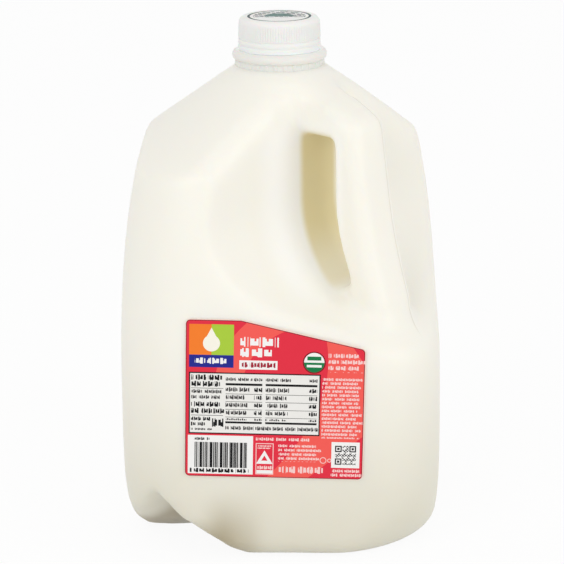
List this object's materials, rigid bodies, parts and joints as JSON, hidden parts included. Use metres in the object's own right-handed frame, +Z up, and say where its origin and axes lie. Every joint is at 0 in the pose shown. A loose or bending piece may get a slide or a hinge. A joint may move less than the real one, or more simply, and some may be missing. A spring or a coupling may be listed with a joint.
{
  "type": "plastic milk jug",
  "caption": "Tall rounded-square plastic jug of milk with a corner handle moulded into the body, a sloping shoulder, a shut ribbed screw cap and a plain label on the front.",
  "frame": {"origin": "on the surface it stands on, under the neck's axis, which is also the middle of the base", "axes": "+Z up along the neck's axis, -Y out of the face that carries the label, and the handle at the corner between +X and -Y"},
  "size_m": [0.1548, 0.1553, 0.2524],
  "materials": {
    "jug_plastic": "translucent milky white, soft sheen",
    "cap_plastic": "translucent natural white, fine ribs",
    "label_film": "printed film in reds with pale panels, no lettering"
  },
  "bodies": {
    "root": {"jug": "jug_plastic", "cap": "cap_plastic", "label": "label_film"}
  },
  "joints": []
}
